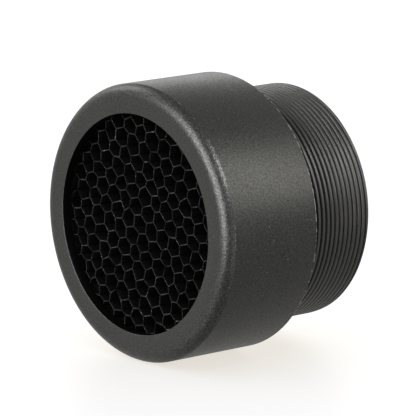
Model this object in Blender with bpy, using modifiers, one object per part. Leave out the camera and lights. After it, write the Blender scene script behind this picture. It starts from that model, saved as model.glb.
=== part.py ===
"""Screw-in honeycomb snoot.

A turned hood barrel holds an expanded-foil honeycomb core behind a front lip. A thin band carries
the clamping load round the core, and a long sleeve with an outer thread screws into the barrel from
behind: it clamps the band through a slip washer, and its free end screws the snoot onto a light.

Every piece is modelled about the local Z axis, with the front face at the top, and hangs on one
empty that lays the snoot on its side: the axis then runs along world Y, with the front towards -Y.
Depths are distances behind the front face.
"""

import math

import bmesh
import bpy

MM = 0.001

# Overall form.
BARREL_RADIUS = 21.0 * MM
BARREL_LENGTH = 17.8 * MM
TOTAL_LENGTH = 31.6 * MM

# Front lip and the barrel's edges.
APERTURE_RADIUS = 16.64 * MM
LIP_THICKNESS = 1.6 * MM
APERTURE_EDGE_BREAK = 0.12 * MM
NOSE_RADIUS = 2.1 * MM
NOSE_OVERCUT = 0.07 * MM
NOSE_POINTS = 8
BARREL_BORE_RADIUS = 18.2 * MM
BACK_CHAMFER = 0.25 * MM
BORE_CHAMFER = 0.3 * MM

# Gap between pieces that bear on each other.
SEAT_GAP = 0.3 * MM

# Core band and honeycomb core.
BAND_OUTER_RADIUS = 17.9 * MM
BAND_INNER_RADIUS = 17.4 * MM
BAND_DEPTH = 8.0 * MM
CORE_RADIUS = 17.2 * MM
CORE_SETBACK = 0.05 * MM

# Honeycomb lattice. Ribbons stand RIBBON_PITCH apart across the core, so a cell is twice that
# across its bonded flats. Each ribbon lies RIBBON_SHIFT further along than the one before it.
RIBBON_PITCH = 1.334 * MM
RIBBON_SHIFT = 2.198 * MM
FOLD_REPEAT = 4.518 * MM
FLAT_LENGTH = 1.65 * MM
CELL_TILT = math.radians(14.4)
CELL_OFFSET_ALONG = 1.161 * MM
CELL_OFFSET_ACROSS = -0.25 * MM
FOIL_THICKNESS = 0.10 * MM
BOND_GAP = 0.06 * MM
FIRST_RIBBON = -13
LAST_RIBBON = 12
SHORTEST_FOLD = 0.25 * MM

# Slip washer.
WASHER_THICKNESS = 0.6 * MM
WASHER_INNER_RADIUS = 16.4 * MM

# Threaded sleeve, 28 turns to the inch.
THREAD_PITCH = 25.4 / 28.0 * MM
THREAD_MAJOR_RADIUS = 17.87 * MM
THREAD_ROOT_RADIUS = 17.48 * MM
THREAD_HALF_ANGLE = math.radians(30.0)
THREAD_LEAD_IN = 0.4 * MM
SLEEVE_BORE_RADIUS = 16.2 * MM
NECK_RADIUS = 17.15 * MM
NECK_LENGTH = 2.0 * MM
SLEEVE_END_CHAMFER = 0.55 * MM
CUTTER_CLEARANCE = 0.4 * MM
FLANK_OVERRUN = 0.05 * MM

# Spanner notches in the bore's edge at the sleeve's free end.
NOTCH_WIDTH = 2.2 * MM
NOTCH_DEPTH = 1.4 * MM
NOTCH_REACH = 0.7 * MM
NOTCH_OVERRUN = 1.0 * MM

# Facets round a ring, and round the thread.
RING_STEPS = 50
THREAD_STEPS = 36
MERGE_DISTANCE = 1.0e-6
SMOOTH_ANGLE = math.radians(35.0)

# Depths of the pieces that stack behind the lip.
BAND_FRONT = LIP_THICKNESS + SEAT_GAP
WASHER_FRONT = BAND_FRONT + BAND_DEPTH + SEAT_GAP
SLEEVE_FRONT = WASHER_FRONT + WASHER_THICKNESS + SEAT_GAP
THREAD_FRONT = SLEEVE_FRONT + NECK_LENGTH


def clear_scene():
    """Remove whatever the scene already holds."""
    for thing in list(bpy.data.objects):
        bpy.data.objects.remove(thing, do_unlink=True)


def new_collection(name):
    """Add a collection to the scene."""
    group = bpy.data.collections.new(name)
    bpy.context.scene.collection.children.link(group)
    return group


def height(depth):
    """Local Z of a depth behind the front face."""
    return TOTAL_LENGTH / 2.0 - depth


def principled(name, colour, roughness, metallic):
    """One Principled BSDF material."""
    material = bpy.data.materials.new(name)
    material.use_nodes = True
    shader = material.node_tree.nodes["Principled BSDF"]
    shader.inputs["Base Color"].default_value = (*colour, 1.0)
    shader.inputs["Roughness"].default_value = roughness
    shader.inputs["Metallic"].default_value = metallic
    return material


def barrel_finish():
    """Bead-blasted black anodising on the hood barrel."""
    return principled("barrel_anodised", (0.030, 0.030, 0.028), 0.48, 0.75)


def sleeve_finish():
    """Machined black anodising on the threaded sleeve."""
    return principled("sleeve_anodised", (0.022, 0.022, 0.020), 0.38, 0.80)


def band_finish():
    """Black anodising on the thin core band."""
    return principled("band_anodised", (0.020, 0.020, 0.020), 0.50, 0.70)


def foil_finish():
    """Matt black coat on the aluminium foil."""
    return principled("foil_black", (0.012, 0.012, 0.012), 0.60, 0.40)


def washer_finish():
    """Black nylon."""
    return principled("nylon_black", (0.015, 0.015, 0.016), 0.55, 0.0)


def mesh_object(name, points, edges, faces, collection):
    """An object from plain mesh data."""
    mesh = bpy.data.meshes.new(name)
    mesh.from_pydata(points, edges, faces)
    piece = bpy.data.objects.new(name, mesh)
    collection.objects.link(piece)
    return piece


def settle(piece):
    """Turn the piece's modifiers into its mesh, with round faces smooth and corners sharp."""
    graph = bpy.context.evaluated_depsgraph_get()
    mesh = bpy.data.meshes.new_from_object(piece.evaluated_get(graph))
    mesh.name = piece.name
    piece.modifiers.clear()
    piece.data = mesh
    weld(mesh)
    mesh.shade_smooth()
    mesh.set_sharp_from_angle(angle=SMOOTH_ANGLE)
    return piece


def weld(mesh):
    """Merge points that a cut left almost together, and drop the faces that this flattens."""
    shape = bmesh.new()
    shape.from_mesh(mesh)
    bmesh.ops.remove_doubles(shape, verts=shape.verts, dist=MERGE_DISTANCE)
    bmesh.ops.dissolve_degenerate(shape, edges=shape.edges, dist=MERGE_DISTANCE)
    shape.to_mesh(mesh)
    shape.free()


def turned(name, outline, steps, collection):
    """Turn a closed outline of (radius, height) about Z; it runs down its outer side."""
    points = [(radius, 0.0, level) for radius, level in outline]
    edges = [(i, (i + 1) % len(points)) for i in range(len(points))]
    piece = mesh_object(name, points, edges, [], collection)
    screw = piece.modifiers.new("Turn", "SCREW")
    screw.axis = "Z"
    screw.angle = 2.0 * math.pi
    screw.steps = steps
    screw.render_steps = steps
    screw.use_merge_vertices = True
    screw.merge_threshold = MERGE_DISTANCE
    return piece


def ring_outline(inner_radius, outer_radius, front, back):
    """Rectangular section of a plain ring between two depths."""
    return [
        (inner_radius, height(front)),
        (outer_radius, height(front)),
        (outer_radius, height(back)),
        (inner_radius, height(back)),
    ]


def nose_arc():
    """Rounded front corner of the barrel.

    The arc leaves the front face smoothly. It is centred a little further out than a true blend,
    so it meets the barrel's side in a fine crease.
    """
    centre_radius = BARREL_RADIUS + NOSE_OVERCUT - NOSE_RADIUS
    last_angle = math.acos((BARREL_RADIUS - centre_radius) / NOSE_RADIUS)
    arc = []
    for i in range(NOSE_POINTS + 1):
        angle = math.pi / 2.0 + (last_angle - math.pi / 2.0) * i / NOSE_POINTS
        radius = centre_radius + NOSE_RADIUS * math.cos(angle)
        depth = NOSE_RADIUS * (1.0 - math.sin(angle))
        arc.append((radius, height(depth)))
    return arc


def make_barrel(collection):
    """Hood barrel: front lip, rounded nose, plain side and a bore open to the back."""
    front = [
        (APERTURE_RADIUS, height(APERTURE_EDGE_BREAK)),
        (APERTURE_RADIUS + APERTURE_EDGE_BREAK, height(0.0)),
    ]
    back = [
        (BARREL_RADIUS, height(BARREL_LENGTH - BACK_CHAMFER)),
        (BARREL_RADIUS - BACK_CHAMFER, height(BARREL_LENGTH)),
        (BARREL_BORE_RADIUS + BORE_CHAMFER, height(BARREL_LENGTH)),
        (BARREL_BORE_RADIUS, height(BARREL_LENGTH - BORE_CHAMFER)),
        (BARREL_BORE_RADIUS, height(LIP_THICKNESS)),
        (APERTURE_RADIUS, height(LIP_THICKNESS)),
    ]
    barrel = turned("hood_barrel", front + nose_arc() + back, RING_STEPS, collection)
    return settle(barrel)


def make_core_band(collection):
    """Thin ring round the honeycomb that takes the sleeve's clamping load."""
    outline = ring_outline(
        BAND_INNER_RADIUS, BAND_OUTER_RADIUS, BAND_FRONT, BAND_FRONT + BAND_DEPTH
    )
    return settle(turned("core_band", outline, RING_STEPS, collection))


def make_slip_washer(collection):
    """Flat washer that lets the sleeve turn without dragging the band round."""
    outline = ring_outline(
        WASHER_INNER_RADIUS, BAND_OUTER_RADIUS, WASHER_FRONT, WASHER_FRONT + WASHER_THICKNESS
    )
    return settle(turned("slip_washer", outline, RING_STEPS, collection))


def ribbon_levels(index):
    """Distances across the core of a ribbon's low and high flats.

    Neighbouring ribbons share a bonded line and stand half the bond gap to each side of it.
    """
    stand_off = (FOIL_THICKNESS + BOND_GAP) / 2.0
    low = CELL_OFFSET_ACROSS + index * RIBBON_PITCH + stand_off
    high = CELL_OFFSET_ACROSS + (index + 1) * RIBBON_PITCH - stand_off
    return low, high


def ribbon_corners(index):
    """Corners (along, across) of one corrugated foil ribbon, trimmed to the core's round edge.

    A ribbon repeats high flat, slope down, low flat, slope up. Its low flats lie against the high
    flats of the ribbon below it. Flats that would pass the round edge are pressed in to follow it.
    """
    low, high = ribbon_levels(index)
    inner = 0.0 if low < 0.0 < high else min(abs(low), abs(high))
    end = math.sqrt(CORE_RADIUS**2 - inner**2) - SHORTEST_FOLD / 2.0
    first_high = (CELL_OFFSET_ALONG + (index + 1) * RIBBON_SHIFT) % FOLD_REPEAT
    first_low = first_high + FOLD_REPEAT - RIBBON_SHIFT
    half_flat = FLAT_LENGTH / 2.0
    repeats = math.ceil(CORE_RADIUS / FOLD_REPEAT) + 1

    wave = []
    for repeat in range(-repeats, repeats + 1):
        start = FOLD_REPEAT * repeat
        wave.append((start + first_high - half_flat, high))
        wave.append((start + first_high + half_flat, high))
        wave.append((start + first_low - half_flat, low))
        wave.append((start + first_low + half_flat, low))

    inside = [corner for corner in wave if abs(corner[0]) < end - SHORTEST_FOLD]
    ends = [(position, wave_level(wave, position)) for position in (-end, end)]
    corners = [ends[0]] + inside + [ends[1]]
    return [(along, press_in(along, across)) for along, across in corners]


def wave_level(wave, position):
    """Distance across of a corrugated line at a position along it."""
    for (x0, y0), (x1, y1) in zip(wave, wave[1:]):
        if x0 <= position <= x1:
            return y0 + (y1 - y0) * (position - x0) / (x1 - x0)
    return wave[-1][1]


def press_in(along, across):
    """Keep a point of the foil inside the core's round edge."""
    limit = math.sqrt(max(CORE_RADIUS**2 - along**2, 0.0))
    return max(-limit, min(limit, across))


def make_foil_ribbon(index, collection):
    """One corrugated foil ribbon, as a strip along the light's path with Solidify for its gauge."""
    corners = ribbon_corners(index)
    top = height(BAND_FRONT + CORE_SETBACK)
    bottom = height(BAND_FRONT + BAND_DEPTH - CORE_SETBACK)
    points = []
    for along, across in corners:
        points.append((along, across, top))
        points.append((along, across, bottom))
    faces = []
    for i in range(len(corners) - 1):
        faces.append((2 * i, 2 * i + 1, 2 * i + 3, 2 * i + 2))
    name = f"foil_ribbon_{index - FIRST_RIBBON + 1:02d}"
    ribbon = mesh_object(name, points, [], faces, collection)
    gauge = ribbon.modifiers.new("Gauge", "SOLIDIFY")
    gauge.thickness = FOIL_THICKNESS
    gauge.offset = 0.0
    gauge.use_even_offset = True
    ribbon.rotation_euler = (0.0, 0.0, CELL_TILT)
    return ribbon


def make_thread_cutter(collection):
    """Helical V groove, right-handed, from beyond the sleeve's end up into its neck."""
    flank_radius = THREAD_MAJOR_RADIUS + FLANK_OVERRUN
    half_width = (flank_radius - THREAD_ROOT_RADIUS) * math.tan(THREAD_HALF_ANGLE)
    outside = THREAD_MAJOR_RADIUS + CUTTER_CLEARANCE
    start = height(TOTAL_LENGTH) - THREAD_PITCH / 2.0
    outline = [
        (outside, start + half_width),
        (outside, start - half_width),
        (flank_radius, start - half_width),
        (THREAD_ROOT_RADIUS, start),
        (flank_radius, start + half_width),
    ]
    threaded_length = TOTAL_LENGTH - THREAD_FRONT
    cutter = turned("thread_cutter", outline, THREAD_STEPS, collection)
    screw = cutter.modifiers["Turn"]
    screw.use_merge_vertices = False
    screw.screw_offset = THREAD_PITCH
    screw.iterations = math.ceil(threaded_length / THREAD_PITCH) + 1
    settle(cutter)

    shape = bmesh.new()
    shape.from_mesh(cutter.data)
    bmesh.ops.holes_fill(shape, edges=shape.edges, sides=len(outline))
    bmesh.ops.recalc_face_normals(shape, faces=shape.faces)
    shape.to_mesh(cutter.data)
    shape.free()
    return cutter


def make_notch_cutter(name, side, collection):
    """Box that cuts one spanner notch into the bore's edge at the sleeve's free end."""
    reach = NOTCH_REACH + NOTCH_OVERRUN
    tall = NOTCH_DEPTH + NOTCH_OVERRUN
    shape = bmesh.new()
    bmesh.ops.create_cube(shape, size=1.0)
    bmesh.ops.scale(shape, vec=(reach, NOTCH_WIDTH, tall), verts=shape.verts)
    mesh = bpy.data.meshes.new(name)
    shape.to_mesh(mesh)
    shape.free()
    cutter = bpy.data.objects.new(name, mesh)
    cutter.location.x = side * (SLEEVE_BORE_RADIUS + NOTCH_REACH - reach / 2.0)
    cutter.location.z = height(TOTAL_LENGTH - NOTCH_DEPTH) - tall / 2.0
    collection.objects.link(cutter)
    return cutter


def sleeve_outline():
    """Section of the sleeve: plain neck, thread blank, chamfered free end and bore."""
    return [
        (SLEEVE_BORE_RADIUS, height(SLEEVE_FRONT)),
        (NECK_RADIUS, height(SLEEVE_FRONT)),
        (NECK_RADIUS, height(THREAD_FRONT)),
        (THREAD_MAJOR_RADIUS, height(THREAD_FRONT + THREAD_LEAD_IN)),
        (THREAD_MAJOR_RADIUS, height(TOTAL_LENGTH - SLEEVE_END_CHAMFER)),
        (THREAD_MAJOR_RADIUS - SLEEVE_END_CHAMFER, height(TOTAL_LENGTH)),
        (SLEEVE_BORE_RADIUS + BORE_CHAMFER, height(TOTAL_LENGTH)),
        (SLEEVE_BORE_RADIUS, height(TOTAL_LENGTH - BORE_CHAMFER)),
    ]


def make_threaded_sleeve(collection, cutters):
    """Threaded sleeve: one thread screws into the barrel and onto the light."""
    sleeve = turned("threaded_sleeve", sleeve_outline(), THREAD_STEPS, collection)
    tools = [
        make_thread_cutter(cutters),
        make_notch_cutter("notch_cutter_left", -1.0, cutters),
        make_notch_cutter("notch_cutter_right", 1.0, cutters),
    ]
    for tool in tools:
        tool.hide_render = True
        tool.display_type = "WIRE"
        cut = sleeve.modifiers.new(tool.name, "BOOLEAN")
        cut.operation = "DIFFERENCE"
        cut.solver = "EXACT"
        cut.object = tool
    return settle(sleeve)


def finish(piece, material, parent):
    """Give a piece its material and hang it on the axis."""
    piece.data.materials.clear()
    piece.data.materials.append(material)
    piece.parent = parent


def main():
    """Build the snoot and lay it on its side."""
    clear_scene()
    parts = new_collection("snoot")
    cutters = new_collection("snoot_cutters")

    axis = bpy.data.objects.new("snoot_axis", None)
    axis.rotation_euler = (math.pi / 2.0, 0.0, 0.0)
    parts.objects.link(axis)

    finish(make_barrel(parts), barrel_finish(), axis)
    finish(make_core_band(parts), band_finish(), axis)
    finish(make_slip_washer(parts), washer_finish(), axis)
    finish(make_threaded_sleeve(parts, cutters), sleeve_finish(), axis)

    foil = foil_finish()
    for index in range(FIRST_RIBBON, LAST_RIBBON + 1):
        finish(make_foil_ribbon(index, parts), foil, axis)

    for cutter in cutters.objects:
        cutter.parent = axis


main()
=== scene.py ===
"""Looks of a screw-in honeycomb snoot: a blasted hood barrel, a threaded sleeve and a foil grid.

The snoot lies on its side. Its axis runs along world Y with the front towards -Y, and every turned
piece is a closed section of (radius, place along the axis) carried round that axis. Each honeycomb
ribbon is a thin rounded section carried along a folded line.
"""

import logging
import math
from dataclasses import dataclass, field
from enum import Enum

import bpy
import numpy as np
from mathutils import Matrix, Quaternion, Vector


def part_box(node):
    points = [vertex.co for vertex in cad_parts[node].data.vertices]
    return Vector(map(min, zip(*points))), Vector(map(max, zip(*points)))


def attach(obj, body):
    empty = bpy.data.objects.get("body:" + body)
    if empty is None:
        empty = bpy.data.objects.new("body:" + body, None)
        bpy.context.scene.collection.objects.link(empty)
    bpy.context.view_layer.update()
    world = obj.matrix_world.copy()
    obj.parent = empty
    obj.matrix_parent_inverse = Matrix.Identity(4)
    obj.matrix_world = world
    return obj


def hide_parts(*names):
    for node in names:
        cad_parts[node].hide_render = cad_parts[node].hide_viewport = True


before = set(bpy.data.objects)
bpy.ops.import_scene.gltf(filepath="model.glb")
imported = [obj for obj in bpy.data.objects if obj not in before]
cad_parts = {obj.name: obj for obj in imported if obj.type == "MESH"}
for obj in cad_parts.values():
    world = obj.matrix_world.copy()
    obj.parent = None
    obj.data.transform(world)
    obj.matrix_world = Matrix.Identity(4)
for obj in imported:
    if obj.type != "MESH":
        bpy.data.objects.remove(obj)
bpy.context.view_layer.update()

MM = 0.001
FULL_TURN = 2.0 * math.pi
WELD = 1.0e-7
TINY = 1.0e-12
SHARPEST_HALF = 0.02
FLATTEST_HALF = math.pi / 2.0 - 0.005

log = logging.getLogger("snoot")

Socket = bpy.types.NodeSocket
Colour = tuple | Socket
Span = tuple[float, float]

RISING: Span = (0.0, 1.0)
FALLING: Span = (1.0, 0.0)
MOST_NOISE: Span = (0.3, 0.7)


class Body(Enum):
    """The rigid bodies that pieces ride on."""

    HOOD = "hood"
    WASHER = "washer"
    SLEEVE = "sleeve"


class Slot(Enum):
    """The record's material slots."""

    BARREL = "barrel_anodised"
    SLEEVE = "sleeve_anodised"
    BAND = "band_anodised"
    FOIL = "foil_black"
    NYLON = "nylon_black"


# ---- Meshes from whole arrays ----------------


def grid_quads(rows: int, columns: int, close_rows: bool, close_columns: bool) -> np.ndarray:
    """Four-sided faces of a grid of points that are numbered row by row.

    Args:
        rows: Number of rows of points.
        columns: Number of points in a row.
        close_rows: Join the last row to the first.
        close_columns: Join the last column to the first.

    Returns:
        Point numbers, shape (faces, 4).
    """
    row = np.arange(rows if close_rows else rows - 1)
    column = np.arange(columns if close_columns else columns - 1)
    i, j = np.meshgrid(row, column, indexing="ij")
    below, right = (i + 1) % rows, (j + 1) % columns
    corners = [i * columns + j, below * columns + j, below * columns + right, i * columns + right]
    return np.stack(corners, axis=-1).reshape(-1, 4)


def weld(points: np.ndarray, faces: np.ndarray) -> tuple[np.ndarray, list[np.ndarray]]:
    """Merge points at the same place and drop the faces that this flattens.

    A quad with one doubled corner becomes a triangle, and one with more is left out.

    Args:
        points: Places, shape (points, 3).
        faces: Quads, shape (faces, 4).

    Returns:
        The merged points, and a list with the quads and the triangles that are left.
    """
    keys = np.round(points / WELD).astype(np.int64)
    _, first, back = np.unique(keys, axis=0, return_index=True, return_inverse=True)
    faces = back.reshape(-1)[faces]
    same = faces == np.roll(faces, -1, axis=1)
    across = (faces[:, 0] == faces[:, 2]) | (faces[:, 1] == faces[:, 3])
    doubled = same.sum(axis=1)
    quads = faces[(doubled == 0) & ~across]
    keep = (doubled == 1) & ~across
    triangles = faces[keep][~same[keep]].reshape(-1, 3)
    return points[first], [quads, triangles]


def enclosed_volume(points: np.ndarray, faces: list[np.ndarray]) -> float:
    """Signed volume of a closed mesh: the sum over face fans of the triple product over six.

    Args:
        points: Places, shape (points, 3).
        faces: Groups of faces, each group of shape (faces, corners).

    Returns:
        The volume, positive where the faces point outwards.
    """
    total = 0.0
    for group in faces:
        for k in range(1, group.shape[1] - 1):
            a, b, c = points[group[:, 0]], points[group[:, k]], points[group[:, k + 1]]
            total += float(np.einsum("ij,ij->i", a, np.cross(b, c)).sum())
    return total / 6.0


def make_mesh(name: str, points: np.ndarray, faces: list[np.ndarray], sharp: float) -> bpy.types.Object:
    """Put arrays into a mesh object whose faces point outwards.

    Args:
        name: Name of the piece.
        points: Places, shape (points, 3).
        faces: Groups of faces, each group of shape (faces, corners).
        sharp: Angle in degrees above which an edge stays sharp.

    Returns:
        The new object, linked to the scene.
    """
    faces = [group for group in faces if len(group)]
    if enclosed_volume(points, faces) < 0.0:
        faces = [group[:, ::-1] for group in faces]
    loops = np.concatenate([group.reshape(-1) for group in faces]).astype(np.int32)
    totals = np.concatenate([np.full(len(group), group.shape[1]) for group in faces])
    starts = np.concatenate([[0], np.cumsum(totals)[:-1]]).astype(np.int32)
    mesh = bpy.data.meshes.new(name)
    mesh.vertices.add(len(points))
    mesh.vertices.foreach_set("co", points.astype(np.float32).reshape(-1))
    mesh.loops.add(len(loops))
    mesh.loops.foreach_set("vertex_index", loops)
    mesh.polygons.add(len(totals))
    mesh.polygons.foreach_set("loop_start", starts)
    mesh.update(calc_edges=True)
    mesh.validate()
    mesh.shade_smooth()
    mesh.set_sharp_from_angle(angle=math.radians(sharp))
    piece = bpy.data.objects.new(name, mesh)
    bpy.context.scene.collection.objects.link(piece)
    return piece


def round_corners(corners: np.ndarray, radii: np.ndarray, steps: int, closed: bool) -> np.ndarray:
    """Replace each corner of a line by an arc.

    The arc touches both sides at the radius over the tangent of half the corner's angle from it.
    Its points swing from one touching radius to the other: each is the blend of the two unit
    radii weighted by the sines of the remaining and the covered angle.

    Args:
        corners: Corner places, shape (corners, 2).
        radii: Arc radius at each corner.
        steps: Chords in each arc.
        closed: The line closes on itself; otherwise its two ends are kept as they are.

    Returns:
        Points along the rounded line, shape (points, 2).
    """
    before = np.roll(corners, 1, axis=0) - corners
    after = np.roll(corners, -1, axis=0) - corners
    before /= np.linalg.norm(before, axis=1, keepdims=True)
    after /= np.linalg.norm(after, axis=1, keepdims=True)
    half = np.arccos(np.clip((before * after).sum(axis=1), -1.0, 1.0)) / 2.0
    half = np.clip(half, SHARPEST_HALF, FLATTEST_HALF)
    reach = (radii / np.tan(half))[:, None]
    bisector = before + after
    bisector /= np.linalg.norm(bisector, axis=1, keepdims=True) + TINY
    centre = corners + bisector * (radii / np.sin(half))[:, None]
    start = corners + before * reach - centre
    finish = corners + after * reach - centre
    sweep = (math.pi - 2.0 * half)[:, None, None]
    part = np.linspace(0.0, 1.0, steps + 1)[None, :, None]
    swing = np.sin((1.0 - part) * sweep) * start[:, None] + np.sin(part * sweep) * finish[:, None]
    arcs = centre[:, None] + swing / np.sin(sweep)
    if closed:
        return arcs.reshape(-1, 2)
    return np.concatenate([corners[:1], arcs[1:-1].reshape(-1, 2), corners[-1:]])


def turn(section: np.ndarray, angles: np.ndarray) -> np.ndarray:
    """Carry a section round the Y axis.

    The place is (radius x cosine, place along the axis, radius x sine) of each angle.

    Args:
        section: (radius, place along Y), shape (points, 2) or (angles, points, 2).
        angles: Angles round the axis.

    Returns:
        Places, shape (angles, points, 3).
    """
    section = np.broadcast_to(section, (len(angles), *section.shape[-2:]))
    radius, along = section[..., 0], section[..., 1]
    cosine, sine = np.cos(angles)[:, None], np.sin(angles)[:, None]
    return np.stack([radius * cosine, along, radius * sine], axis=-1)


def turned_piece(name: str, section: np.ndarray, steps: int, sharp: float = 40.0) -> bpy.types.Object:
    """Carry a closed section all the way round the Y axis in equal steps.

    Args:
        name: Name of the piece.
        section: (radius, place along Y), shape (points, 2).
        steps: Steps in the full turn.
        sharp: Angle in degrees above which an edge stays sharp.

    Returns:
        The new object.
    """
    angles = np.arange(steps) * (FULL_TURN / steps)
    points = turn(section, angles)
    faces = grid_quads(steps, section.shape[0], True, True)
    return make_mesh(name, points.reshape(-1, 3), [faces], sharp)


def ring_section(low: Vector, high: Vector, wall: float, corner: float, steps: int) -> np.ndarray:
    """Closed rectangular section of a flat ring, with its four corners rounded.

    Args:
        low: Lowest corner of the ring's box.
        high: Highest corner of the ring's box.
        wall: Distance from the outer to the inner radius.
        corner: Radius of the corners.
        steps: Chords in each corner.

    Returns:
        (radius, place along Y), shape (points, 2).
    """
    outer, inner = high.x, high.x - wall
    corners = np.array([[inner, low.y], [outer, low.y], [outer, high.y], [inner, high.y]])
    return round_corners(corners, np.full(4, corner), steps, True)


@dataclass(frozen=True)
class Ripple:
    """Smooth even unevenness over a plane: a sum of sines in spread directions.

    Each sine's wavelength is within the spread's shares of the middle one. The seeds set the
    directions and phases, one seed for each direction that a place is moved in.
    """

    height: float
    wavelength: float
    waves: int
    seeds: tuple
    length_spread: Span = (0.7, 1.5)

    def at(self, place: np.ndarray) -> np.ndarray:
        """The height times the sum of the sines over the root of their number, for each seed.

        Args:
            place: Places, shape (points, 2).

        Returns:
            Moves, shape (points, seeds).
        """
        moves = []
        for seed in self.seeds:
            draw = np.random.default_rng(seed)
            heading = draw.uniform(0.0, FULL_TURN, self.waves)
            wave = FULL_TURN / (self.wavelength * draw.uniform(*self.length_spread, self.waves))
            phase = draw.uniform(0.0, FULL_TURN, self.waves)
            travel = (place[:, :1] * np.cos(heading) + place[:, 1:] * np.sin(heading)) * wave
            moves.append(np.sin(travel + phase).sum(axis=-1) / math.sqrt(self.waves))
        return self.height * np.stack(moves, axis=-1)


# ---- Finishes --------------------------------


class Nodes:
    """Short way to write a material's node tree."""

    def __init__(self, name: str) -> None:
        """Start a material with an empty Principled surface.

        Args:
            name: Name of the material.
        """
        self.material = bpy.data.materials.new(name)
        self.material.use_nodes = True
        self.tree = self.material.node_tree
        self.shader = self.tree.nodes["Principled BSDF"]
        self.place = self.tree.nodes.new("ShaderNodeTexCoord").outputs["Object"]

    def link(self, source: Socket, target: Socket) -> None:
        """Join two sockets."""
        self.tree.links.new(source, target)

    def feed(self, key: str, source: Socket) -> None:
        """Join a socket to one of the shader's own."""
        self.link(source, self.shader.inputs[key])

    def constant(self, **values: float | tuple) -> None:
        """Set the shader's own sockets; an underscore stands for a space."""
        for key, value in values.items():
            self.shader.inputs[key.replace("_", " ")].default_value = value

    def noise(self, scale: float, detail: float, rough: float = 0.5) -> Socket:
        """Noise over Object coordinates.

        Args:
            scale: Grains in a metre.
            detail: Number of finer layers.
            rough: Strength of each layer against the one before.

        Returns:
            The noise, mostly between 0.3 and 0.7.
        """
        node = self.tree.nodes.new("ShaderNodeTexNoise")
        node.inputs["Scale"].default_value = scale
        node.inputs["Detail"].default_value = detail
        node.inputs["Roughness"].default_value = rough
        self.link(self.place, node.inputs["Vector"])
        return node.outputs["Fac"]

    def cells(self, scale: float) -> Socket:
        """Distance to the nearest of many scattered points.

        Args:
            scale: Points in a metre.

        Returns:
            The distance, in the points' own spacing.
        """
        node = self.tree.nodes.new("ShaderNodeTexVoronoi")
        node.inputs["Scale"].default_value = scale
        self.link(self.place, node.inputs["Vector"])
        return node.outputs["Distance"]

    def math(self, kind: str, *terms: Socket | float) -> Socket:
        """One Math node over sockets and numbers.

        Args:
            kind: The node's operation.
            terms: What goes into its sockets, in order.

        Returns:
            The result.
        """
        node = self.tree.nodes.new("ShaderNodeMath")
        node.operation = kind
        for socket, term in zip(node.inputs, terms):
            if isinstance(term, Socket):
                self.link(term, socket)
            else:
                socket.default_value = term
        return node.outputs[0]

    def times(self, first: Socket, second: Socket) -> Socket:
        """Product of two values."""
        return self.math("MULTIPLY", first, second)

    def total(self, *terms: tuple[Socket, float]) -> Socket:
        """Sum of values, each times its share.

        Args:
            terms: Pairs of a value and its share.

        Returns:
            The sum.
        """
        result = 0.0
        for value, share in terms:
            result = self.math("MULTIPLY_ADD", value, share, result)
        return result

    def spread(self, value: Socket, source: Span, target: Span = RISING) -> Socket:
        """Map a range of a value onto another, with its ends held.

        Args:
            value: Value to map.
            source: The value's range.
            target: What the two ends of that range become.

        Returns:
            The mapped value.
        """
        node = self.tree.nodes.new("ShaderNodeMapRange")
        for key, number in zip(("From Min", "From Max", "To Min", "To Max"), (*source, *target)):
            node.inputs[key].default_value = number
        self.link(value, node.inputs["Value"])
        return node.outputs["Result"]

    def away(self, value: Socket, place: float) -> Socket:
        """Distance of a value from a place."""
        return self.math("ABSOLUTE", self.math("SUBTRACT", value, place))

    def blend(self, share: Socket, low: Colour, high: Colour) -> Socket:
        """Colour between two colours, each a tuple or a socket.

        Args:
            share: Share of the second colour.
            low: First colour.
            high: Second colour.

        Returns:
            The colour.
        """
        node = self.tree.nodes.new("ShaderNodeMix")
        node.data_type = "RGBA"
        self.link(share, node.inputs["Factor"])
        for key, colour in (("A", low), ("B", high)):
            if isinstance(colour, Socket):
                self.link(colour, node.inputs[key])
            else:
                node.inputs[key].default_value = (*colour, 1.0)
        return node.outputs["Result"]

    def radius_and_along(self) -> tuple[Socket, Socket]:
        """Cylindrical place: the root of x squared plus z squared, and y.

        Returns:
            Distance from the Y axis, and place along it.
        """
        split = self.tree.nodes.new("ShaderNodeSeparateXYZ")
        self.link(self.place, split.inputs["Vector"])
        x, z = split.outputs["X"], split.outputs["Z"]
        squares = self.math("ADD", self.times(x, x), self.times(z, z))
        return self.math("SQRT", squares), split.outputs["Y"]

    def relief(self, height: Socket, depth: float, strength: float) -> None:
        """Give the surface a fine relief.

        Args:
            height: Height from 0 to 1.
            depth: Depth of a height of 1, in metres.
            strength: Share of the relief that shows.
        """
        node = self.tree.nodes.new("ShaderNodeBump")
        node.inputs["Strength"].default_value = strength
        node.inputs["Distance"].default_value = depth
        self.link(height, node.inputs["Height"])
        self.feed("Normal", node.outputs["Normal"])


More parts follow.
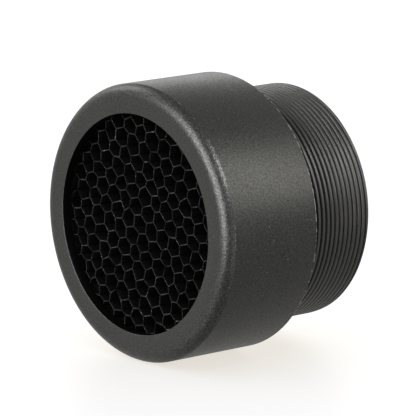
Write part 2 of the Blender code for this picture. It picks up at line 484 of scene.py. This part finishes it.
@dataclass(frozen=True)
class BlastedAnodise:
    """Bead-blasted aluminium, anodised black: a fine sparkling grain over a soft sheen.

    Each chips field is the range of speckle over which the coating gives way to bare metal, and each
    fade field is the two distances between which such a speckled line dies out. The lines at the back
    edge and at the crease are partly chipped coating and partly painted highlight.
    """

    dark: tuple = (0.001, 0.001, 0.001)
    light: tuple = (0.005, 0.005, 0.0035)
    # Painted shade: the aperture wall takes this near-black inside colour.
    inside: tuple = (0.001, 0.001, 0.001)
    # Colour of the back edge's speckled line: chipped coating and partly a painted highlight.
    wear_and_edge_highlight: tuple = (0.20, 0.20, 0.185)
    # Colour of the scattered flecks and of the crease's speckled line; along the crease it is partly a
    # painted highlight.
    fleck: tuple = (0.06, 0.06, 0.055)
    grain_scale: float = 4300.0
    grain_depth: float = 0.022 * MM
    pit_scale: float = 3440.0
    pit_depth: float = 0.6
    mottle_scale: float = 140.0
    speckle_scale: float = 1800.0
    fleck_scale: float = 2600.0
    mottle_share: float = 0.15
    mottle_roughness: float = 0.5
    tint_range: Span = (0.38, 0.62)
    outside_depth: Span = (0.35 * MM, 0.10 * MM)
    edge_fade: Span = (0.05 * MM, 0.16 * MM)
    edge_chips: Span = (0.48, 0.60)
    crease_fade: Span = (0.03 * MM, 0.12 * MM)
    crease_chips: Span = (0.56, 0.68)
    fleck_chips: Span = (0.72, 0.80)
    bore_fade: Span = (0.005 * MM, 0.03 * MM)
    sparkle_range: Span = (0.34, 0.66)
    sparkle_level: Span = (0.38, 0.66)
    middle_level: float = 0.52
    bore_shade_level: Span = (1.0, 0.2)
    glint_range: Span = (0.36, 0.64)
    glint_gain: Span = (-0.22, 0.22)
    glint_length: float = 0.5 * MM
    nose_depth: Span = (3.0 * MM, 1.2 * MM)
    rough_range: Span = (0.3, 1.1)
    roughness: Span = (0.30, 0.44)

    def material(self, radius: float, crease: float, back: float, bore_radius: float) -> bpy.types.Material:
        """Build the material.

        Args:
            radius: The barrel's outer radius.
            crease: Place along the axis of the crease behind the nose.
            back: Place along the axis of the barrel's back edge.
            bore_radius: Radius of the front aperture; nearer the axis the surface is painted black and
                dull, painted shade on the aperture wall.

        Returns:
            The material.
        """
        nodes = Nodes("blasted_anodise")
        reach, along = nodes.radius_and_along()
        grain = nodes.noise(self.grain_scale, detail=2.0, rough=0.6)
        pits = nodes.cells(self.pit_scale)
        mottle = nodes.noise(self.mottle_scale, detail=4.0)
        within = nodes.spread(reach, tuple(bore_radius + fade for fade in self.bore_fade), FALLING)

        tint = nodes.total((grain, 1.0 - self.mottle_share), (mottle, self.mottle_share))
        colour = nodes.blend(nodes.spread(tint, self.tint_range), self.dark, self.light)
        outside = nodes.spread(reach, tuple(radius - depth for depth in self.outside_depth))
        speckle = nodes.noise(self.speckle_scale, detail=2.0)
        # Speckled bright lines at the back edge and the crease: chipped coating, partly painted highlight
        # along those edges.
        wear_and_highlight_lines = (
            (back, self.edge_fade, self.edge_chips, self.wear_and_edge_highlight),
            (crease, self.crease_fade, self.crease_chips, self.fleck),
        )
        for place, fade, chips, bare in wear_and_highlight_lines:
            line = nodes.times(nodes.spread(nodes.away(along, place), fade, FALLING), outside)
            colour = nodes.blend(nodes.times(line, nodes.spread(speckle, chips)), colour, bare)
        flecks = nodes.spread(nodes.noise(self.fleck_scale, detail=1.0), self.fleck_chips)
        colour = nodes.blend(flecks, colour, self.fleck)
        # Painted shade: the aperture wall is blended to the inside colour.
        nodes.feed("Base Color", nodes.blend(within, colour, self.inside))

        nodes.constant(Metallic=0.0, IOR=1.5, Specular_IOR_Level=self.middle_level)
        sparkle = nodes.spread(grain, self.sparkle_range, self.sparkle_level)
        gain = nodes.spread(nodes.noise(self.pit_scale, detail=1.0), self.glint_range, self.glint_gain)
        ahead = nodes.spread(along, (crease - self.glint_length, crease), FALLING)
        rounded = nodes.spread(reach, tuple(radius - depth for depth in self.nose_depth))
        glint = nodes.math("MULTIPLY_ADD", nodes.times(ahead, rounded), gain, 1.0)
        # Painted shade: the aperture wall's gloss falls to a fifth.
        shade = nodes.spread(within, RISING, self.bore_shade_level)
        nodes.feed("Specular IOR Level", nodes.times(nodes.times(sparkle, glint), shade))
        rough = nodes.total((pits, 1.0), (mottle, self.mottle_roughness))
        nodes.feed("Roughness", nodes.spread(rough, self.rough_range, self.roughness))
        nodes.relief(nodes.total((grain, 1.0), (pits, -self.pit_depth)), self.grain_depth, 1.0)
        return nodes.material


@dataclass(frozen=True)
class MachinedAnodise:
    """Turned aluminium, anodised black: tool rings and a slightly crisper sheen.

    The gloss runs from the groove's level to the crest's between their two radii; the dull
    grooves are painted shade down in the thread.
    """

    name: str = "machined_anodise"
    dark: tuple = (0.001, 0.001, 0.001)
    light: tuple = (0.005, 0.005, 0.003)
    ring_spacing: float = 0.06 * MM
    ring_depth: float = 0.004 * MM
    ring_share: float = 0.4
    grain_scale: float = 4200.0
    mottle_scale: float = 260.0
    tint_range: Span = (0.7, 1.3)
    roughness: Span = (0.30, 0.46)
    sparkle: Span = (0.8, 1.2)
    groove_radius: float = 0.0
    crest_radius: float = 1.0 * MM
    groove_level: float = 0.5
    crest_level: float = 0.5

    def material(self) -> bpy.types.Material:
        """Build the material: rings follow the sum of radius and place along the axis.

        Returns:
            The material.
        """
        nodes = Nodes(self.name)
        radius, along = nodes.radius_and_along()
        travel = nodes.math("ADD", radius, along)
        rings = nodes.math("SINE", nodes.math("MULTIPLY", travel, FULL_TURN / self.ring_spacing))
        grain = nodes.noise(self.grain_scale, detail=3.0, rough=0.6)
        mottle = nodes.noise(self.mottle_scale, detail=3.0)
        tint = nodes.spread(nodes.math("ADD", grain, mottle), self.tint_range)
        nodes.feed("Base Color", nodes.blend(tint, self.dark, self.light))
        nodes.feed("Roughness", nodes.spread(grain, MOST_NOISE, self.roughness))
        radii, levels = (self.groove_radius, self.crest_radius), (self.groove_level, self.crest_level)
        nodes.constant(Metallic=0.0, IOR=1.5, Specular_IOR_Level=sum(levels) / 2.0)
        # Painted shade: the gloss falls from the crests into the dull grooves.
        groove_shade_gloss = nodes.spread(radius, radii, levels)
        sparkle = nodes.spread(grain, MOST_NOISE, self.sparkle)
        nodes.feed("Specular IOR Level", nodes.times(groove_shade_gloss, sparkle))
        nodes.relief(nodes.total((rings, self.ring_share), (grain, 1.0)), self.ring_depth, 0.8)
        return nodes.material


@dataclass(frozen=True)
class CoatedFoil:
    """Black-coated aluminium foil whose cut edges show a dull grey."""

    wall: tuple = (0.0012, 0.0012, 0.0012)
    cut: tuple = (0.037, 0.037, 0.035)
    fleck: tuple = (0.13, 0.13, 0.12)
    edge_fade: Span = (0.021 * MM, 0.07 * MM)
    patch_scale: float = 700.0
    patch_range: Span = (0.35, 0.7)
    patch_share: Span = (0.25, 1.0)
    fleck_scale: float = 2200.0
    fleck_chips: Span = (0.62, 0.74)
    grain_scale: float = 5200.0
    grain_depth: float = 0.004 * MM
    roughness: Span = (0.55, 0.75)

    def material(self, front: float, back: float) -> bpy.types.Material:
        """Build the material.

        Args:
            front: Place along the axis of the foil's front edges.
            back: Place along the axis of the foil's back edges.

        Returns:
            The material.
        """
        nodes = Nodes("coated_foil")
        _, along = nodes.radius_and_along()
        nearest = nodes.math("MINIMUM", nodes.away(along, front), nodes.away(along, back))
        edge = nodes.spread(nearest, self.edge_fade, FALLING)
        patches = nodes.noise(self.patch_scale, detail=4.0, rough=0.6)
        patchy = nodes.spread(patches, self.patch_range, self.patch_share)
        colour = nodes.blend(nodes.times(edge, patchy), self.wall, self.cut)
        chips = nodes.spread(nodes.noise(self.fleck_scale, detail=2.0), self.fleck_chips)
        nodes.feed("Base Color", nodes.blend(nodes.times(edge, chips), colour, self.fleck))
        grain = nodes.noise(self.grain_scale, detail=2.0)
        nodes.feed("Roughness", nodes.spread(grain, MOST_NOISE, self.roughness))
        nodes.constant(Metallic=0.0, IOR=1.2)
        nodes.relief(grain, self.grain_depth, 0.6)
        return nodes.material


@dataclass(frozen=True)
class MouldedNylon:
    """Black nylon with a faint moulded grain."""

    dark: tuple = (0.010, 0.010, 0.011)
    light: tuple = (0.020, 0.020, 0.021)
    grain_scale: float = 2600.0
    grain_depth: float = 0.01 * MM
    roughness: Span = (0.42, 0.6)

    def material(self) -> bpy.types.Material:
        """Build the material.

        Returns:
            The material.
        """
        nodes = Nodes("moulded_nylon")
        grain = nodes.noise(self.grain_scale, detail=4.0, rough=0.6)
        nodes.feed("Base Color", nodes.blend(grain, self.dark, self.light))
        nodes.feed("Roughness", nodes.spread(grain, MOST_NOISE, self.roughness))
        nodes.constant(Metallic=0.0, IOR=1.53)
        nodes.relief(grain, self.grain_depth, 0.5)
        return nodes.material


@dataclass(frozen=True)
class PaleTable:
    """Plain pale table top that glows a little by itself: painted light that keeps its shadow pale and
    warm.
    """

    # The bluish colour under the wash and the warm glow sum to near white in the open, so the glow alone
    # paints the table's shadow warm.
    colour: tuple = (0.235, 0.27, 0.35)
    glow: tuple = (1.0, 0.95, 0.86)
    painted_fill_strength: float = 0.735

    def material(self) -> bpy.types.Material:
        """Build the material.

        Returns:
            The material.
        """
        nodes = Nodes("pale_table")
        nodes.constant(Base_Color=(*self.colour, 1.0), Roughness=0.35, IOR=1.45)
        nodes.constant(Emission_Color=(*self.glow, 1.0), Emission_Strength=self.painted_fill_strength)
        return nodes.material


# ---- Pieces ----------------------------------


def place_in(
    piece: bpy.types.Object, body: Body, node: str, material: bpy.types.Material
) -> bpy.types.Object:
    """Dress a piece, put it on its body and let it stand for its CAD node.

    Args:
        piece: The piece.
        body: Body that it rides on.
        node: CAD node that it replaces.
        material: Its finish.

    Returns:
        The piece.
    """
    piece.data.materials.append(material)
    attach(piece, body.value)
    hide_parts(node)
    return piece


@dataclass
class HoodBarrel:
    """Turned hood barrel: front lip, rounded nose with a fine crease behind it, open back.

    The corner fields are the small radii that break its turned corners.
    """

    aperture_radius: float = 16.64 * MM
    lip_thickness: float = 1.6 * MM
    nose_radius: float = 2.1 * MM
    nose_overcut: float = 0.07 * MM
    bore_radius: float = 18.2 * MM
    back_break: float = 0.2 * MM
    back_relief: float = 0.35 * MM
    bore_chamfer: float = 0.3 * MM
    lip_corner: float = 0.05 * MM
    aperture_corner: float = 0.10 * MM
    crease_corner: float = 0.05 * MM
    back_corner: float = 0.04 * MM
    chamfer_corner: float = 0.05 * MM
    seat_corner: float = 0.10 * MM
    nose_steps: int = 20
    corner_steps: int = 3
    steps: int = 360
    sharp: float = 60.0
    radius: float = field(init=False)
    front: float = field(init=False)
    back: float = field(init=False)

    def __post_init__(self) -> None:
        """Take the outer size from the frame."""
        low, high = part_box("hood_barrel")
        self.radius = high.x
        self.front = low.y
        self.back = high.y

    def crease(self) -> float:
        """Place along the axis where the nose's arc meets the plain side."""
        return float(self.nose()[-1, 1])

    def nose(self) -> np.ndarray:
        """Nose arc: (centre radius + r cos a, front + r (1 - sin a)), from the face to the crease.

        Returns:
            (radius, place along Y), shape (points, 2).
        """
        centre = self.radius + self.nose_overcut - self.nose_radius
        last = math.acos((self.radius - centre) / self.nose_radius)
        angle = np.linspace(math.pi / 2.0, last, self.nose_steps + 1)
        radius = centre + self.nose_radius * np.cos(angle)
        along = self.front + self.nose_radius * (1.0 - np.sin(angle))
        return np.stack([radius, along], axis=1)

    def section(self) -> np.ndarray:
        """Closed section, with every turned corner broken by a small radius.

        Returns:
            (radius, place along Y), shape (points, 2).
        """
        lip_back = self.front + self.lip_thickness
        nose = self.nose()
        before = [[self.aperture_radius, lip_back], [self.aperture_radius, self.front]]
        after = [
            [self.radius, self.back - self.back_break],
            [self.radius - self.back_relief, self.back],
            [self.bore_radius + self.bore_chamfer, self.back],
            [self.bore_radius, self.back - self.bore_chamfer],
            [self.bore_radius, lip_back],
        ]
        corners = np.concatenate([before, nose, after])
        radii = np.concatenate(
            [
                [self.lip_corner, self.aperture_corner],
                np.zeros(len(nose) - 1),
                [self.crease_corner, self.back_corner, self.back_corner],
                [self.chamfer_corner, self.chamfer_corner, self.seat_corner],
            ]
        )
        rounded = round_corners(corners, np.maximum(radii, TINY), self.corner_steps, True)
        rounded = rounded.reshape(len(corners), self.corner_steps + 1, 2)
        on_nose = radii == 0.0
        keep = np.ones(rounded.shape[:2], bool)
        keep[on_nose, 1:] = False
        rounded[on_nose, 0] = corners[on_nose]
        return rounded[keep]

    def build(self) -> list[bpy.types.Object]:
        """Make the barrel and dress it.

        Returns:
            The piece.
        """
        piece = turned_piece("barrel_shell", self.section(), self.steps, self.sharp)
        edge = self.back - self.back_break
        finish = BlastedAnodise().material(self.radius, self.crease(), edge, self.aperture_radius)
        return [place_in(piece, Body.HOOD, "hood_barrel", finish)]


@dataclass
class ThreadedSleeve:
    """Sleeve with an outer thread: plain neck, thread, chamfered end, bore with two notches.

    The thread's profile lists phases from the middle of a groove, at 0, to the middle of a crest,
    at 0.5, and how far the profile has risen at each.
    """

    pitch: float = 25.4 / 28.0 * MM
    root_radius: float = 17.48 * MM
    bore_radius: float = 16.2 * MM
    neck_radius: float = 17.15 * MM
    neck_length: float = 2.0 * MM
    lead_in: float = 0.4 * MM
    end_chamfer: float = 0.55 * MM
    bore_chamfer: float = 0.25 * MM
    rim_break: float = 0.05 * MM
    notch_width: float = 2.2 * MM
    notch_depth: float = 1.4 * MM
    notch_reach: float = 0.7 * MM
    profile_phases: tuple = (0.0, 0.03, 0.06, 0.245, 0.275, 0.315, 0.5)
    profile_lifts: tuple = (0.0, 0.03, 0.15, 0.88, 0.965, 0.992, 1.0)
    groove_shade_margin: float = 0.1 * MM
    # The grooves' low gloss is painted shade in the thread.
    groove_level: float = 0.03
    crest_level: float = 0.70
    steps: int = 240
    wall_room: float = 0.2
    sharp: float = 50.0
    major_radius: float = field(init=False)
    front: float = field(init=False)
    back: float = field(init=False)

    def __post_init__(self) -> None:
        """Take the outer size from the frame."""
        low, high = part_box("threaded_sleeve")
        self.major_radius = high.x
        self.front = low.y
        self.back = high.y

    def angles(self) -> tuple[np.ndarray, np.ndarray]:
        """Angles round the sleeve, with each notch wall's angle twice.

        Even steps closer to a wall than the wall's room, a share of a step, are left out.

        Returns:
            The angles in rising order, and which of them lie in a notch.
        """
        half = math.asin(self.notch_width / 2.0 / self.bore_radius)
        even = np.linspace(0.0, FULL_TURN, self.steps, endpoint=False) + math.pi / self.steps
        walls = np.array([half, math.pi - half, math.pi + half, FULL_TURN - half])
        offset = np.abs((even + math.pi / 2.0) % math.pi - math.pi / 2.0)
        in_notch = offset < half
        clear = np.abs(offset - half) > self.wall_room * (even[1] - even[0])
        every = np.concatenate([[0.0], even[clear], walls, walls, [FULL_TURN]])
        opened = np.concatenate([[True], in_notch[clear], np.full(4, True), np.full(4, False), [True]])
        # The two copies of a wall's angle are ordered so that the notch side comes first or last.
        rising = np.array([0, 1, 0, 1])
        rank = np.concatenate([np.zeros(1), np.zeros(clear.sum()), rising, 1 - rising, np.zeros(1)])
        order = np.lexsort((rank, every))
        return every[order], opened[order]

    def groove(self, phase: np.ndarray) -> np.ndarray:
        """Thread radius at a phase: the root radius plus the depth times the profile's lift there.

        Args:
            phase: Turns from the middle of a groove.

        Returns:
            Radius at each phase.
        """
        away = np.abs(phase - np.round(phase))
        depth = self.major_radius - self.root_radius
        return self.root_radius + depth * np.interp(away, self.profile_phases, self.profile_lifts)

    def thread_rows(self, angles: np.ndarray) -> np.ndarray:
        """Outer side of the thread.

        A row keeps its phase, so it climbs by one pitch in a turn. Its place along the axis is
        held between the neck and the end face, and its radius is the smaller of the thread's and
        of the cones that lead in and out.

        Args:
            angles: Angles round the sleeve.

        Returns:
            (radius, place along Y), shape (angles, rows, 2).
        """
        phases = np.array(self.profile_phases)
        phases = np.unique(np.round(np.concatenate([phases, 1.0 - phases[1:]]), 6))[:-1]
        start = self.front + self.neck_length
        turns = math.ceil((self.back - start) / self.pitch) + 2
        rows = (np.arange(-1, turns)[:, None] + phases[None, :]).reshape(-1)
        climb = angles[:, None] / FULL_TURN
        along = self.back - self.pitch * (rows[None, :] + climb)
        along = np.clip(along, start, self.back)
        phase = (self.back - along) / self.pitch - climb
        radius = self.groove(phase)
        lead = self.neck_radius + (along - start) * (self.major_radius - self.neck_radius) / self.lead_in
        out = self.major_radius - self.end_chamfer + (self.back - along)
        return np.stack([np.minimum(radius, np.minimum(lead, out)), along], axis=-1)

    def section(self) -> tuple[np.ndarray, np.ndarray]:
        """Closed section at every angle.

        Returns:
            The section, shape (angles, points, 2), and the angles.
        """
        angles, opened = self.angles()
        thread = self.thread_rows(angles)
        notch = self.bore_radius + self.notch_reach
        mouth = np.where(opened, notch, self.bore_radius + self.bore_chamfer)
        inside = np.where(opened, notch, self.bore_radius)
        floor = np.where(opened, self.back - self.notch_depth, self.back - self.bore_chamfer)
        one = np.ones(len(angles))
        rim = self.rim_break
        front_rows = [
            (self.bore_radius * one, floor),
            (self.bore_radius * one, (self.front + rim) * one),
            ((self.bore_radius + rim) * one, self.front * one),
            ((self.neck_radius - rim) * one, self.front * one),
            (self.neck_radius * one, (self.front + rim) * one),
        ]
        end_rows = [(mouth, self.back * one), (inside, floor)]
        front = np.stack([np.stack(row, axis=-1) for row in front_rows], axis=1)
        end = np.stack([np.stack(row, axis=-1) for row in end_rows], axis=1)
        return np.concatenate([front, thread[:, ::-1], end], axis=1), angles

    def build(self) -> list[bpy.types.Object]:
        """Make the sleeve and dress it.

        Returns:
            The piece.
        """
        section, angles = self.section()
        points = turn(section, angles)
        faces = grid_quads(points.shape[0], points.shape[1], False, True)
        merged, groups = weld(points.reshape(-1, 3), faces)
        piece = make_mesh("sleeve_tube", merged, groups, self.sharp)
        finish = MachinedAnodise(
            groove_radius=self.root_radius + self.groove_shade_margin,
            crest_radius=self.major_radius - self.groove_shade_margin,
            groove_level=self.groove_level,
            crest_level=self.crest_level,
        )
        return [place_in(piece, Body.SLEEVE, "threaded_sleeve", finish.material())]


@dataclass
class CoreBand:
    """Thin ring that stands round the foil and takes the clamping load."""

    wall: float = 0.5 * MM
    corner: float = 0.12 * MM
    corner_steps: int = 4
    steps: int = 240
    dark: tuple = (0.006, 0.006, 0.006)
    light: tuple = (0.014, 0.014, 0.014)

    def build(self) -> list[bpy.types.Object]:
        """Make the band and dress it.

        Returns:
            The piece.
        """
        low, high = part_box("core_band")
        section = ring_section(low, high, self.wall, self.corner, self.corner_steps)
        piece = turned_piece("band_ring", section, self.steps)
        finish = MachinedAnodise("band_anodise", self.dark, self.light).material()
        return [place_in(piece, Body.HOOD, "core_band", finish)]


@dataclass
class SlipWasher:
    """Flat nylon washer between the band and the sleeve."""

    wall: float = 1.5 * MM
    corner: float = 0.1 * MM
    corner_steps: int = 4
    steps: int = 240

    def build(self) -> list[bpy.types.Object]:
        """Make the washer and dress it.

        Returns:
            The piece.
        """
        low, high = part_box("slip_washer")
        section = ring_section(low, high, self.wall, self.corner, self.corner_steps)
        piece = turned_piece("washer_ring", section, self.steps)
        finish = MouldedNylon().material()
        return [place_in(piece, Body.WASHER, "slip_washer", finish)]


@dataclass
class HoneycombCore:
    """Expanded foil honeycomb: corrugated ribbons bonded along their flats."""

    pitch: float = 1.334 * MM
    shift: float = 2.198 * MM
    repeat: float = 4.518 * MM
    flat: float = 1.65 * MM
    tilt: float = math.radians(14.4)
    offset_along: float = 1.161 * MM
    offset_across: float = -0.25 * MM
    radius: float = 17.2 * MM
    gauge: float = 0.065 * MM
    bond: float = 0.01 * MM
    fold_radius: float = 0.16 * MM
    fold_steps: int = 3
    shortest_fold: float = 0.3 * MM
    first: int = -13
    last: int = 12
    drift: Ripple = Ripple(0.16 * MM, 13.0 * MM, 5, (11, 12))
    unevenness: Ripple = Ripple(0.20 * MM, 3.6 * MM, 8, (13, 14))
    edge_wave: Ripple = Ripple(0.05 * MM, 3.1 * MM, 6, (21,))
    edge_width: float = 0.6
    depth_stations: int = 5
    sharp: float = 50.0

    def corners(self, index: int) -> np.ndarray:
        """Folded line of one ribbon.

        The line repeats high flat, slope down, low flat and slope up. Each ribbon stands a pitch
        further across than the one before and a shift further along, so its low flats lie
        against the high flats of the ribbon below.

        Args:
            index: The ribbon's number across the core.

        Returns:
            (along, across) corners, shape (corners, 2).
        """
        stand_off = (self.gauge + self.bond) / 2.0
        low = self.offset_across + index * self.pitch + stand_off
        high = self.offset_across + (index + 1) * self.pitch - stand_off
        inner = 0.0 if low < 0.0 < high else min(abs(low), abs(high))
        end = math.sqrt(self.radius**2 - inner**2) - self.shortest_fold / 2.0
        first_high = (self.offset_along + (index + 1) * self.shift) % self.repeat
        first_low = first_high + self.repeat - self.shift
        half = self.flat / 2.0
        repeats = math.ceil(self.radius / self.repeat) + 1
        start = self.repeat * np.arange(-repeats, repeats + 1)[:, None]
        one = np.array([[first_high - half, first_high + half, first_low - half, first_low + half]])
        along = (start + one).reshape(-1)
        across = np.tile([high, high, low, low], 2 * repeats + 1)
        ends = np.array([-end, end])
        inside = np.abs(along) < end - self.shortest_fold
        line = np.concatenate([along[inside], ends])
        level = np.concatenate([across[inside], np.interp(ends, along, across)])
        order = np.argsort(line)
        return np.stack([line[order], level[order]], axis=1)

    def pull(self, place: np.ndarray) -> np.ndarray:
        """Uneven stretch of the lattice: a slow drift and quicker ripples move each place.

        A place that this would move past the core's radius is drawn back to it.

        Args:
            place: Places, shape (points, 2).

        Returns:
            The moved places.
        """
        moved = place + self.drift.at(place) + self.unevenness.at(place)
        reach = np.hypot(moved[:, 0], moved[:, 1])[:, None]
        return moved * np.minimum(1.0, self.radius / np.maximum(reach, TINY))

    def ribbon(self, index: int, front: float, back: float) -> tuple[np.ndarray, list[np.ndarray]]:
        """Closed surface of one ribbon.

        A rounded thin section, half the gauge to each side of the folded line and as deep as the
        core, is carried along that line. Its sideways direction is the line's normal, its front
        edge waves a little, and the whole is turned by the lattice's tilt.

        Args:
            index: The ribbon's number across the core.
            front: Place along the axis of the front edge.
            back: Place along the axis of the back edge.

        Returns:
            Points and faces.
        """
        corners = self.pull(self.corners(index))
        line = round_corners(corners, np.full(len(corners), self.fold_radius), self.fold_steps, False)
        run = np.gradient(line, axis=0)
        run /= np.linalg.norm(run, axis=1, keepdims=True)
        normal = np.stack([-run[:, 1], run[:, 0]], axis=1)

        half = self.gauge / 2.0
        edge = self.edge_width
        depth = np.linspace(front + half, back - half, self.depth_stations)
        full = np.ones(self.depth_stations)
        side = np.concatenate([[-edge, edge], full, [edge, -edge], -full])
        level = np.concatenate([[front, front], depth, [back, back], depth[::-1]])
        flat = line[:, None, :] + (side * half)[None, :, None] * normal[:, None, :]
        wave = self.edge_wave.at(line)
        fade = np.clip(1.0 - (level - front)[None, :] / (back - front), 0.0, 1.0)
        cosine, sine = math.cos(self.tilt), math.sin(self.tilt)
        x = flat[..., 0] * cosine - flat[..., 1] * sine
        z = flat[..., 0] * sine + flat[..., 1] * cosine
        points = np.stack([x, level[None, :] + wave * fade, z], axis=-1)

        around = points.shape[1]
        faces = grid_quads(len(line), around, False, True)
        first = np.arange(around)[None, :]
        last = (len(line) - 1) * around + first[:, ::-1]
        return points.reshape(-1, 3), [faces, first, last]

    def build(self) -> list[bpy.types.Object]:
        """Make every ribbon and dress it.

        Returns:
            The pieces.
        """
        low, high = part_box("foil_ribbon_13")
        finish = CoatedFoil().material(low.y, high.y)
        made = []
        for number, index in enumerate(range(self.first, self.last + 1), start=1):
            points, faces = self.ribbon(index, low.y, high.y)
            piece = make_mesh(f"foil_strip_{number:02d}", points, faces, self.sharp)
            made.append(place_in(piece, Body.HOOD, f"foil_ribbon_{number:02d}", finish))
        return made


# ---- Studio ----------------------------------


@dataclass(frozen=True)
class Softbox:
    """Rectangular soft light aimed at the snoot.

    The distance and the size are in metres, the glow is a radiance, and the roll is a turn about
    the light's own direction in degrees.
    """

    name: str
    towards: tuple
    away: float
    size: Span
    glow: float
    tint: tuple = (1.0, 1.0, 1.0)
    roll: float = 0.0

    def place(self) -> bpy.types.Object:
        """Make the light; its power is pi times its area times its glow.

        Returns:
            The light.
        """
        lamp = bpy.data.lights.new(self.name, "AREA")
        lamp.shape = "RECTANGLE"
        lamp.size, lamp.size_y = self.size
        lamp.energy = math.pi * self.size[0] * self.size[1] * self.glow
        lamp.color = self.tint
        holder = bpy.data.objects.new(self.name, lamp)
        bpy.context.scene.collection.objects.link(holder)
        direction = Vector(self.towards).normalized()
        holder.location = direction * self.away
        aim = direction.to_track_quat("Z", "Y") @ Quaternion((0.0, 0.0, 1.0), math.radians(self.roll))
        holder.rotation_euler = aim.to_euler()
        return holder


@dataclass(frozen=True)
class Lobe:
    """Soft patch of light in the surroundings.

    The glow runs smoothly over the cosine of the angle to the lobe's direction.
    """

    towards: tuple
    cosines: Span
    glow: Span


@dataclass
class Studio:
    """Pale table, soft lights and the camera."""

    azimuth: float = math.radians(48.6)
    elevation: float = math.radians(11.1)
    focal_length: float = 350.6
    sensor: float = 36.0
    clip: Span = (0.01, 50.0)
    distance: float = 28.67
    shift_right: float = 0.5245
    shift_up: float = 0.118
    table_size: float = 8.0
    softboxes: tuple = (
        Softbox("key", (0.06, -0.96, 0.26), 1.2, (0.75, 1.45), 10.0, roll=45.0),
        Softbox("left", (-0.80, -0.15, 0.58), 1.2, (0.5, 0.5), 4.0),
        Softbox("right", (0.74, -0.04, 0.66), 1.2, (0.30, 0.30), 42.0, (1.0, 1.0, 0.98)),
        Softbox("back_left", (-0.74, 0.65, 0.25), 1.4, (0.9, 0.4), 1.4),
        Softbox("back_right", (0.61, 0.65, 0.44), 1.4, (0.6, 0.85), 4.2, (1.0, 0.99, 0.92)),
    )
    wash: Softbox = Softbox("wash", (0.0, 0.0, 1.0), 1.5, (5.0, 5.0), 0.85)
    surround_tint: tuple = (1.0, 0.99, 0.97)
    surround: tuple = (
        Lobe((-0.90, -0.42, 0.0), (0.2, 0.9), (0.50, 0.80)),
        Lobe((-0.15, -0.90, -0.41), (0.84, 1.0), (0.0, 0.60)),
        Lobe((0.97, 0.02, -0.22), (0.86, 1.0), (0.0, 1.3)),
    )

    def directions(self) -> tuple[Vector, Vector, Vector]:
        """Axes of a camera at the azimuth and elevation, level with the horizon.

        Returns:
            The camera's right, up and back directions.
        """
        a, e = self.azimuth, self.elevation
        right = Vector((math.cos(a), math.sin(a), 0.0))
        back = Vector((math.sin(a) * math.cos(e), -math.cos(a) * math.cos(e), math.sin(e)))
        return right, back.cross(right), back

    def camera(self, radius: float, front: float) -> None:
        """Long-lens camera, placed in multiples of the barrel's radius from the front face's middle.

        Args:
            radius: The barrel's outer radius.
            front: Place along the axis of the front face.
        """
        right, up, back = self.directions()
        lens = bpy.data.cameras.new("camera")
        lens.lens = self.focal_length
        lens.sensor_width = self.sensor
        lens.clip_start, lens.clip_end = self.clip
        eye = bpy.data.objects.new("camera", lens)
        bpy.context.scene.collection.objects.link(eye)
        face = Vector((0.0, front, 0.0))
        spot = face + radius * (self.shift_right * right + self.shift_up * up + self.distance * back)
        turn_to = Matrix((right, up, back)).transposed()
        eye.matrix_world = Matrix.Translation(spot) @ turn_to.to_4x4()
        bpy.context.scene.camera = eye

    def table(self, level: float) -> bpy.types.Object:
        """Wide flat table top that the barrel lies on.

        Args:
            level: Height of the table top.

        Returns:
            The table top.
        """
        half = self.table_size / 2.0
        sides = ((-half, -half), (half, -half), (half, half), (-half, half))
        mesh = bpy.data.meshes.new("table_top")
        mesh.from_pydata([(x, y, level) for x, y in sides], [], [(0, 1, 2, 3)])
        top = bpy.data.objects.new("table_top", mesh)
        bpy.context.scene.collection.objects.link(top)
        mesh.materials.append(PaleTable().material())
        top.visible_glossy = False
        return top

    def lights(self, table: bpy.types.Object) -> None:
        """Softboxes flagged off the table, and a wash that falls on the table alone.

        Args:
            table: The table top.
        """
        flagged = bpy.data.collections.new("flagged_off_table")
        flagged.objects.link(table)
        flagged.collection_objects[0].light_linking.link_state = "EXCLUDE"
        alone = bpy.data.collections.new("table_alone")
        alone.objects.link(table)
        for box in self.softboxes:
            box.place().light_linking.receiver_collection = flagged
        self.wash.place().light_linking.receiver_collection = alone

    def surroundings(self) -> None:
        """World light: the sum of the lobes' glow."""
        world = bpy.data.worlds.new("studio")
        world.use_nodes = True
        tree = world.node_tree
        background = tree.nodes["Background"]
        background.inputs["Color"].default_value = (*self.surround_tint, 1.0)
        direction = tree.nodes.new("ShaderNodeTexCoord").outputs["Generated"]
        rest = background.inputs["Strength"]
        for lobe in self.surround:
            add = tree.nodes.new("ShaderNodeMath")
            add.inputs[1].default_value = 0.0
            tree.links.new(add.outputs[0], rest)
            rest = add.inputs[1]
            side = tree.nodes.new("ShaderNodeVectorMath")
            side.operation = "DOT_PRODUCT"
            side.inputs[1].default_value = lobe.towards
            tree.links.new(direction, side.inputs[0])
            rise = tree.nodes.new("ShaderNodeMapRange")
            rise.interpolation_type = "SMOOTHSTEP"
            rise.inputs["From Min"].default_value, rise.inputs["From Max"].default_value = lobe.cosines
            rise.inputs["To Min"].default_value, rise.inputs["To Max"].default_value = lobe.glow
            tree.links.new(side.outputs["Value"], rise.inputs["Value"])
            tree.links.new(rise.outputs["Result"], add.inputs[0])
        bpy.context.scene.world = world

    def display(self) -> None:
        """Plain display transform, so that a white table shows white."""
        bpy.context.scene.view_settings.view_transform = "Standard"


def main() -> None:
    """Build the studio and every piece of the snoot, and report them."""
    logging.basicConfig(level=logging.INFO, format="%(name)s: %(message)s")
    barrel = HoodBarrel()
    studio = Studio()
    studio.camera(barrel.radius, barrel.front)
    studio.lights(studio.table(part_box("hood_barrel")[0].z))
    studio.surroundings()
    studio.display()
    for part in (barrel, ThreadedSleeve(), CoreBand(), SlipWasher(), HoneycombCore()):
        for piece in part.build():
            log.info("%s: %d faces", piece.name, len(piece.data.polygons))


if __name__ == "__main__":
    main()
